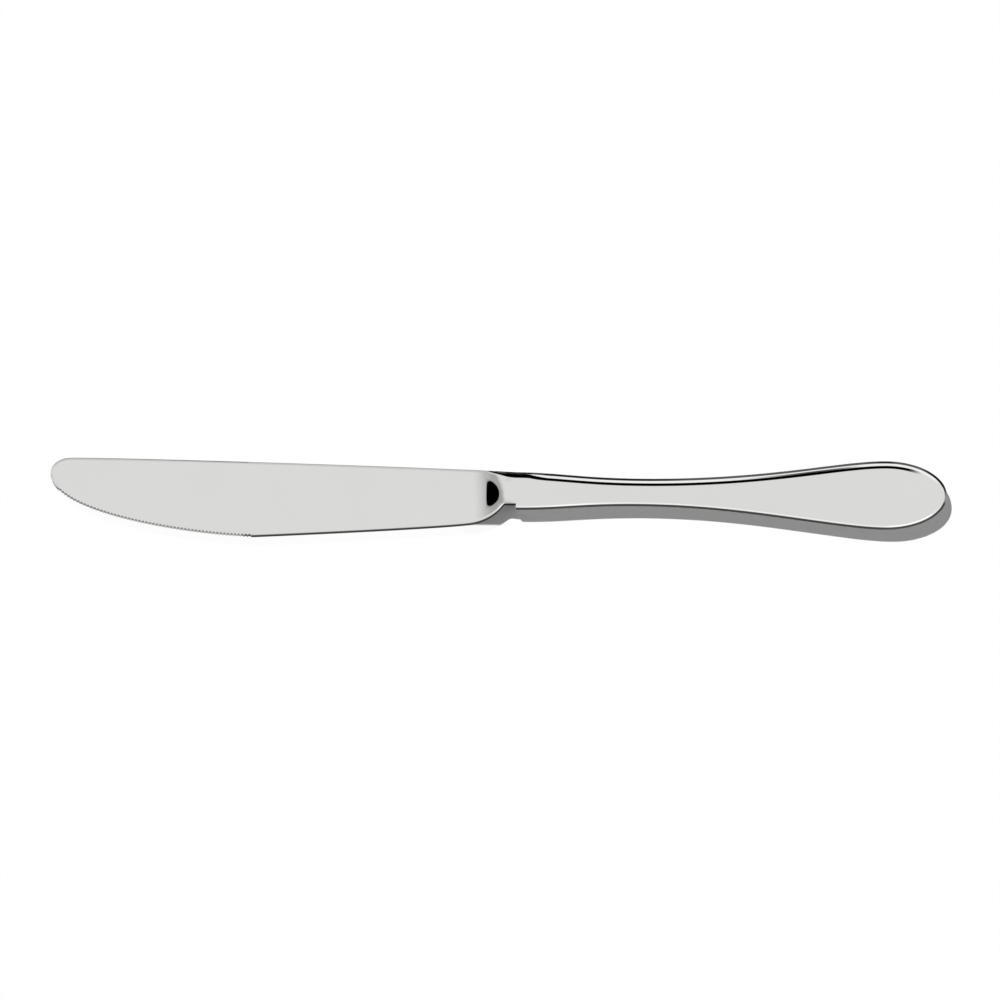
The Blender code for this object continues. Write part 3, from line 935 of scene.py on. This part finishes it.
    def stations(self) -> tuple[Array, Array, Array]:
        """Choose where the forging gets a section.

        Returns:
            Lower ends of the sections, upper ends, and how deep in a gullet each lies.
        """
        along = lengths_along(self.toothed)
        room = along[-1] - self.teeth_stop_before_belly - self.teeth_start
        count = int(room / self.tooth_pitch) * self.stations_per_tooth
        steps = np.arange(count + 1)
        tip_x = self.toothed[0, 0]
        turn = np.arange(1, self.tip_stations) / self.tip_stations * math.pi / 2
        past_tip = np.interp(self.teeth_start, along, self.toothed[:, 0]) - tip_x
        to_teeth = np.interp(tip_x + past_tip * (1 - np.cos(turn)), self.toothed[:, 0], along)
        at = np.concatenate([to_teeth, self.teeth_start + steps * self.tooth_pitch / self.stations_per_tooth])
        in_tooth = np.abs(np.sin(math.pi * steps / self.stations_per_tooth))
        gullet = np.concatenate([np.zeros(len(to_teeth)), in_tooth])
        on_edge = points_at(self.toothed, along, at)
        inward = points_at(left_normals(self.toothed), along, at)
        plain_x = np.concatenate(
            [
                np.linspace(self.toothed[-1, 0], -self.heel_from_mouth, self.plain_stations)[:-1],
                np.linspace(-self.heel_from_mouth, 0, self.bolster_stations),
            ]
        )
        plain = np.stack([plain_x, np.interp(plain_x, *self.plain.T)], axis=1)
        lower = np.concatenate([on_edge + inward * (self.tooth_depth * gullet)[:, None], plain])
        upper_x = np.concatenate([on_edge[:, 0], plain_x])
        upper = np.stack([upper_x, np.interp(upper_x, *self.spine.T)], axis=1)
        return lower, upper, np.concatenate([gullet, np.zeros(len(plain))])

    def blade_sections(self) -> tuple[list[Array], Array]:
        """Draw the upper half of each section from the tip to the handle's mouth.

        Returns:
            Points of each section, spine to edge, and each point's share of ground finish and painted shade.
        """
        sections, ground = [], []
        teeth_from = np.interp(self.teeth_start, lengths_along(self.toothed), self.toothed[:, 0])
        last_teeth = [self.toothed[-1, 0] - before for before in self.last_teeth]
        edge = self.knife.rolled_edge()
        creased, _ = edge.at(edge.turns(self.roll_steps), self.knife.crease)
        round_off = 1 - np.cos(np.linspace(0, math.pi / 2, self.roll_steps))
        for bottom, top, gullet in zip(*self.stations(), strict=True):
            grown = self.bevel_grown(top[0])
            upper = creased * grown
            if upper[-1] <= self.spine_round:
                upper = self.spine_round * round_off
            width = np.linalg.norm(top - bottom)
            shares = self.section_shares(width, upper, self.edge_bevel * round_off)
            plan = top + (bottom - top) * shares[:, None]
            half = self.half_thickness(plan, gullet)
            half[[0, -1]] = 0
            sections.append(np.column_stack([plan, half]))
            # Ground share along the edge, which also paints shade: a dark line and dark beads standing in for
            # shadow.
            toothed = teeth_from <= bottom[0] < self.toothed[-1, 0] - self.teeth_stop_before_belly
            edge_ground_and_shade = np.interp(gullet, (0, 1), self.ground_and_shade_teeth) if toothed else 1.0
            edge_ground_and_shade += (1 - edge_ground_and_shade) * self.ground_and_shade_last_teeth * smooth_step(bottom[0], *last_teeth)
            edge_ground_and_shade *= smooth_step(bottom[0], teeth_from - self.tooth_pitch, teeth_from)
            on_edge = edge_ground_and_shade * (1 - smooth_step(width * (1 - shares), *self.ground_and_shade_width))
            # On the spine: a duller finish and a painted grey line standing in for its rounded edge's dark
            # reflection.
            dull = np.interp(top[0], (-self.knife.blade_length, -self.scoop_from_mouth), self.spine_dull_and_shade)
            dull *= smooth_step(top[0] + self.knife.blade_length, 0, self.spine_dull_and_shade_from_tip)
            dull *= 1 - smooth_step(top[0] + self.scoop_from_mouth, -self.heel_blend, 0)
            spine_dull_and_shade_share = dull * (1 - smooth_step(distance_to(plan, self.spine), *self.spine_dull_and_shade_width))
            ground.append(np.maximum(on_edge, spine_dull_and_shade_share))
        return sections, np.concatenate(ground)

    def bar_section(self, x: float, half_width: float, half_thick: float, edge_round: float) -> Array:
        """Draw the upper half of a section of a straight bar with rounded edges.

        Args:
            x: Place along the knife.
            half_width: Half of the bar's width.
            half_thick: Half of its thickness.
            edge_round: Width of its rounded edges.

        Returns:
            Points of the section.
        """
        rolled = edge_round * (1 - np.cos(np.linspace(0, math.pi / 2, self.roll_steps)))
        y = half_width * (1 - 2 * self.section_shares(2 * half_width, rolled, rolled))
        half = half_thick * roll((half_width - np.abs(y)) / edge_round)
        half[[0, -1]] = 0
        return np.column_stack([np.full(len(y), x), y, half])

    def hidden_sections(self) -> list[Array]:
        """Draw the spigot, which follows the handle's mouth, and the notched tang.

        Returns:
            Points of each section.
        """
        knife = self.knife
        side = self.outline.spine_side()
        sections = []
        for x in np.linspace(0, self.spigot_length, self.spigot_sections):
            half = np.interp(x, *side.T) - knife.wall - knife.fit
            cavity = knife.half_thick - knife.wall - knife.fit
            sections.append(self.bar_section(x, half, cavity, knife.inner_roll))
        start, end = self.spigot_length, self.spigot_length + self.tang_length
        centres = start + self.notch_pitch * np.arange(1, self.notch_count + 1)
        turn = self.notch_radius * np.cos(np.linspace(0, math.pi, self.notch_points))
        places = np.sort(np.concatenate([[start, end], (centres[:, None] + turn).ravel()]))
        half = np.interp(places, (start, end), (self.tang_half_root, self.tang_half_end))
        away = np.abs(places[:, None] - centres).min(axis=1)
        half -= np.sqrt(np.clip(self.notch_radius**2 - away**2, 0, None))
        for x, width in zip(places, half, strict=True):
            sections.append(self.bar_section(x, width, self.tang_thick / 2, self.tang_round))
        return sections

    def build(self) -> Piece:
        """Loft the upper half through its sections and mirror it to the other face.

        Returns:
            The forging, in its place.
        """
        sections, ground = self.blade_sections()
        sections += self.hidden_sections()
        rows, columns = len(sections), len(sections[0])
        tip = (-self.knife.blade_length, self.spine_height - self.tip_radius, 0)
        points = np.concatenate([*sections, [tip]])
        faces = quads(np.arange(rows * columns).reshape(rows, columns))
        faces += [(rows * columns, place, place + 1) for place in range(columns - 1)]
        faces.append(tuple(range((rows - 1) * columns, rows * columns)))
        piece = new_piece("forged_blade", points, faces, self.sharp)
        # The ground share on the mesh carries the ground finish and its painted shade.
        share = np.zeros(len(points))
        share[: len(ground)] = ground
        piece.data.attributes.new(GroundEdgeWithPaintedShade.attribute, "FLOAT", "POINT").data.foreach_set("value", share)
        piece.location = self.knife.centre
        mirror = piece.modifiers.new("other_face", "MIRROR")
        mirror.use_axis = (False, False, True)
        mirror.merge_threshold = self.least
        return piece

    def dress(self, piece: Piece, finish: PolishedStainless) -> None:
        """Give the forging its finish and let it stand for its node."""
        stand_for(piece, "blade", finish.material())


@dataclass
class Filling:
    """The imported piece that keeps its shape: the cement in the handle."""

    nodes: dict[str, Piece]

    def dress(self, node: str, material: Material) -> None:
        """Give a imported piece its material.

        Args:
            node: Name of the piece.
            material: What it is made of.
        """
        piece = self.nodes[node]
        piece.data.materials.clear()
        piece.data.materials.append(material)
        LOG.info("%s keeps its packed shape, with %s", node, material.name)


# The studio


@dataclass(frozen=True)
class Card:
    """A card in the studio dome, which a polished edge mirrors as a line.

    Angles are in degrees: the azimuth of its middle from +X towards +Y, half its width, the elevations of
    its lower and upper edge, and how soft its edges are. A shade of 1 is black and a negative one is lit.
    """

    azimuth: float
    half_width: float
    low: float
    high: float
    shade: float = 1.0
    soft_low: float = 3.0
    soft_high: float = 3.0
    soft_sides: float = 3.0


@dataclass(frozen=True)
class Flag:
    """A flag hung level over the blade, with a straight edge across the knife.

    Distances are shares of its height over the knife: where its dark sets in and is full and where it ends,
    going from overhead towards the tip, and half its width.
    """

    sets_in: float
    full: float
    shade: float = 1.0
    end: float = 0.75
    half_width: float = 1.2
    soft: float = 0.15


@dataclass
class Studio:
    """White ground, a white dome with cards, one key lamp, and the camera.

    The steel mirrors the dome also below the horizon: there it is as white as the ground, with the dark
    of the knife's own shadow close underneath.
    """

    knife: Knife
    photo_pixels: float = 1000.0
    photo_span: float = 228.9 * MM
    mouth_pixel: Pair = (516.0, 491.0)
    photo_turn: float = math.radians(0.665)
    lens: float = 400.0
    sensor: float = 36.0
    clip: Pair = (0.01, 20.0)
    ground_size: float = 4.0
    ground_colour: str = "#EDEDED"
    fill: float = 0.296
    key_level: float = 0.9
    key_elevation: float = math.radians(48.5)
    key_azimuth: float = math.radians(90 + 27)
    key_angle: float = math.radians(1.5)
    # Painted light: where and how strongly the ground glows white to the camera, to wash out the blade's
    # shadow.
    painted_glow_share: float = 0.97
    painted_glow_before_mouth: Pair = (9.5 * MM, 12.0 * MM)
    painted_glow_below_axis: Pair = (7.6 * MM, 8.1 * MM)
    painted_glow_under_neck: Pair = (0.0, 4.75 * MM)
    cards: tuple[Card, ...] = (
        Card(96.5, 21.5, 25, 63, soft_low=6, soft_high=8, soft_sides=12),
        Card(103, 6.5, 3, 28, soft_low=4),
        Card(85, 30, -60, 25, shade=-0.25, soft_sides=20),
        Card(270, 35, -60, 2, shade=-0.2, soft_high=14, soft_sides=30),
        Card(290, 14, -60, 6, shade=-0.24, soft_high=8, soft_sides=5),
        Card(85, 62, -95, -20, shade=0.89, soft_high=4, soft_sides=30),
        Card(275, 60, -95, -20, shade=0.93, soft_high=4, soft_sides=12),
        Card(44, 9, -95, -18, shade=0.9, soft_high=6, soft_sides=14),
        Card(87, 1.5, -95, -20, shade=0.75, soft_high=4, soft_sides=3),
        Card(5, 25, -95, -20, shade=0.6, soft_high=4, soft_sides=10),
    )
    flags: tuple[Flag, ...] = (Flag(sets_in=0.05, full=0.36, shade=0.52), Flag(sets_in=0.372, full=0.404))
    lowest: float = 0.05

    def add_camera(self) -> None:
        """Put the camera where the photo was taken, straight above the knife."""
        per_pixel = self.photo_span / self.photo_pixels
        right = Vector((math.cos(self.photo_turn), math.sin(self.photo_turn), 0))
        up = Vector((-right.y, right.x, 0))
        middle = self.photo_pixels / 2
        across, down = middle - self.mouth_pixel[0], middle - self.mouth_pixel[1]
        target = self.knife.centre + right * across * per_pixel - up * down * per_pixel
        data = bpy.data.cameras.new("camera")
        data.lens, data.sensor_width = self.lens, self.sensor
        data.clip_start, data.clip_end = self.clip
        camera = bpy.data.objects.new("camera", data)
        camera.location = target + Vector((0, 0, self.photo_span * self.lens / self.sensor))
        camera.rotation_euler = (0, 0, self.photo_turn)
        bpy.context.scene.collection.objects.link(camera)
        bpy.context.scene.camera = camera

    def add_dome(self) -> None:
        """Make the world: white to the camera, a carded dome to polished metal, and an even fill."""
        world = bpy.data.worlds.new("studio_dome")
        world.use_nodes = True
        bpy.context.scene.world = world
        tree = world.node_tree
        tree.nodes.clear()
        toward = add_node(tree, "TexCoord").outputs["Generated"]
        height = add_node(tree, "SeparateXYZ", (toward,)).outputs["Z"]
        level = add_node(tree, "VectorMath", (toward, (1, 1, 0)), operation="MULTIPLY").outputs[0]
        level = add_node(tree, "VectorMath", (level,), operation="NORMALIZE").outputs[0]
        light = 1.0
        shades = [self.card_shade(tree, card, level, height) for card in self.cards]
        shades += [self.flag_shade(tree, flag, toward) for flag in self.flags]
        for shade in shades:
            light = calculated(tree, "MULTIPLY", light, calculated(tree, "SUBTRACT", 1.0, shade))
        ray = add_node(tree, "LightPath").outputs
        mirrored = calculated(tree, "MAXIMUM", ray["Is Glossy Ray"], ray["Is Transmission Ray"])
        seen = mixed(tree, ray["Is Camera Ray"], mixed(tree, mirrored, self.fill, light), 1.0)
        background = add_node(tree, "Background", {"Color": linear(WHITE), "Strength": seen})
        add_node(tree, "OutputWorld", {"Surface": background.outputs[0]})

    def card_shade(
        self, tree: Tree, card: Card, level: Any, height: Any
    ) -> Socket:
        """Work out how far a direction is covered by a card.

        Args:
            tree: Node tree of the world.
            card: The card.
            level: Direction in plan, of unit length.
            height: Sine of the direction's elevation.

        Returns:
            Socket that gives 0 off the card and the card's shade on it.
        """
        azimuth = math.radians(card.azimuth)
        middle = (math.cos(azimuth), math.sin(azimuth), 0)
        inner, outer = (math.cos(math.radians(card.half_width + more)) for more in (0, card.soft_sides))
        beside = add_node(tree, "VectorMath", (level, middle), operation="DOT_PRODUCT").outputs["Value"]
        clear_below, low, high, clear_above = (
            math.sin(math.radians(max(angle, -90)))
            for angle in (card.low - card.soft_low, card.low, card.high, card.high + card.soft_high)
        )
        spans = ((beside, outer, inner), (height, clear_above, high))
        if card.low > -90:
            spans += ((height, clear_below, low),)
        return self.windowed(tree, card.shade, spans)

    def flag_shade(self, tree: Tree, flag: Flag, toward: Any) -> Socket:
        """Work out how far a direction is covered by a flag.

        Args:
            tree: Node tree of the world.
            flag: The flag.
            toward: The direction.

        Returns:
            Socket that gives 0 off the flag and the flag's shade on it.
        """
        part = add_node(tree, "SeparateXYZ", (toward,)).outputs
        up = calculated(tree, "MAXIMUM", part["Z"], self.lowest)
        ahead, aside = (calculated(tree, "DIVIDE", part[axis], up) for axis in "XY")
        aside = calculated(tree, "ABSOLUTE", aside)
        spans = (
            (ahead, -flag.sets_in, -flag.full),
            (ahead, -flag.end - flag.soft, -flag.end),
            (aside, flag.half_width + flag.soft, flag.half_width),
        )
        return self.windowed(tree, flag.shade, spans)

    def windowed(self, tree: Tree, shade: Any, spans: tuple) -> Socket:
        """Limit a shade to the windows of several values.

        Args:
            tree: Node tree of the world.
            shade: Full shade.
            spans: Each value, where its window is shut and where it is open.

        Returns:
            Socket that gives the shade where all windows are open, and 0 where one is shut.
        """
        for span in spans:
            shade = calculated(tree, "MULTIPLY", window(tree, *span), shade)
        return shade

    def add_key(self) -> None:
        """Hang the key lamp, which casts the shadow and isn't mirrored in the steel."""
        data = bpy.data.lights.new("key", "SUN")
        data.angle = self.key_angle
        data.energy = self.key_level * math.pi / math.sin(self.key_elevation)
        key = bpy.data.objects.new("key", data)
        azimuth, level = self.key_azimuth, math.cos(self.key_elevation)
        towards = (level * math.cos(azimuth), level * math.sin(azimuth), math.sin(self.key_elevation))
        key.rotation_mode = "QUATERNION"
        key.rotation_quaternion = Vector(towards).to_track_quat("Z", "Y")
        key.visible_glossy = False
        bpy.context.scene.collection.objects.link(key)

    def add_ground(self) -> None:
        """Lay white ground that keeps the handle's shadow; a painted glow washes out the blade's shadow."""
        half = self.ground_size / 2
        corners = np.array([(-half, -half, 0), (half, -half, 0), (half, half, 0), (-half, half, 0)])
        ground = new_piece("ground", corners, [(0, 1, 2, 3)], math.pi)
        made, tree, shader, place = new_material("white_card_ground")
        matt = {"Base Color": linear(self.ground_colour), "Roughness": 1.0, "Specular IOR Level": 0.0}
        feed(tree, shader, matt)
        place = add_node(tree, "SeparateXYZ", (place,)).outputs
        centre = self.knife.centre
        spans = (
            (place["X"], centre.x, self.painted_glow_before_mouth),
            (place["Y"], centre.y, self.painted_glow_below_axis),
            (place["X"], centre.x, self.painted_glow_under_neck),
        )
        left, below, blade = (
            window(tree, value, middle - kept, middle - clear, most=self.painted_glow_share)
            for value, middle, (kept, clear) in spans
        )
        beside = calculated(tree, "MAXIMUM", left, calculated(tree, "MULTIPLY", below, blade))
        # Painted light: the ground glows white to the camera beside the blade, which hides the blade's
        # shadow.
        ray = add_node(tree, "LightPath").outputs
        painted_glow = calculated(tree, "MULTIPLY", ray["Is Camera Ray"], beside)
        white = add_node(tree, "Emission", {"Color": linear(WHITE), "Strength": 1.0}).outputs[0]
        surface = add_node(tree, "MixShader", (painted_glow, shader.outputs[0], white)).outputs[0]
        feed(tree, tree.nodes["Material Output"], {"Surface": surface})
        ground.data.materials.append(made)
        ground.visible_glossy = False


def main() -> None:
    """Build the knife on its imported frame, dress it, and light it."""
    logging.basicConfig(level=logging.INFO, format="%(name)s: %(message)s")
    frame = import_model()
    knife = Knife.from_frame()
    outline = HandleOutline(knife)
    blade = Blade(knife, outline)
    # The blade's ground edge gets a painted dark line of shade.
    blade.dress(blade.build(), PolishedStainless("stainless_blade_mirror_polished", edge=GroundEdgeWithPaintedShade()))
    for side in Side:
        shell = HandleShell(outline, side)
        shell.dress(shell.build(), PolishedStainless(f"stainless_shell_{side.name.lower()}_mirror_polished"))
    band = SeamBand(HandleShell(outline, Side.TOP))
    band.dress(band.build(), SilverBraze())
    filling = Filling(frame["nodes"])
    filling.dress("tang_cement", CastCement().material())
    studio = Studio(knife)
    studio.add_camera()
    studio.add_dome()
    studio.add_key()
    studio.add_ground()
    bpy.context.scene.view_settings.view_transform = "Standard"
    bpy.context.view_layer.update()


if __name__ == "__main__":
    main()
